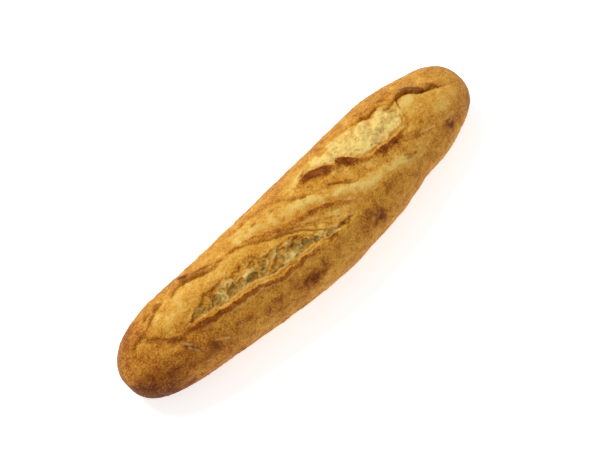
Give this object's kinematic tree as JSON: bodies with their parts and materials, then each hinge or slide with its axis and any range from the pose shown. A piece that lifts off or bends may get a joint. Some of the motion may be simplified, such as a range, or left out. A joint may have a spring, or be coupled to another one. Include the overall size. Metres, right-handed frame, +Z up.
{
  "type": "baguette",
  "caption": "Small crusty baguette: a long rounded loaf with overlapping slanting slashes, raised ears and open crumb along its crown, resting on a flat base.",
  "frame": {"origin": "under the middle of the loaf's bounding box, on the plane of its flat base", "axes": "+X along the loaf, +Y across it towards the lips of the slashes, +Z up through the crown"},
  "size_m": [0.283, 0.0708, 0.0569],
  "materials": {
    "crust": "dry golden brown crust, darker on the ears and flanks, with pale yellow crumb showing in the slashes"
  },
  "bodies": {
    "root": {"baguette": "crust"}
  },
  "joints": []
}
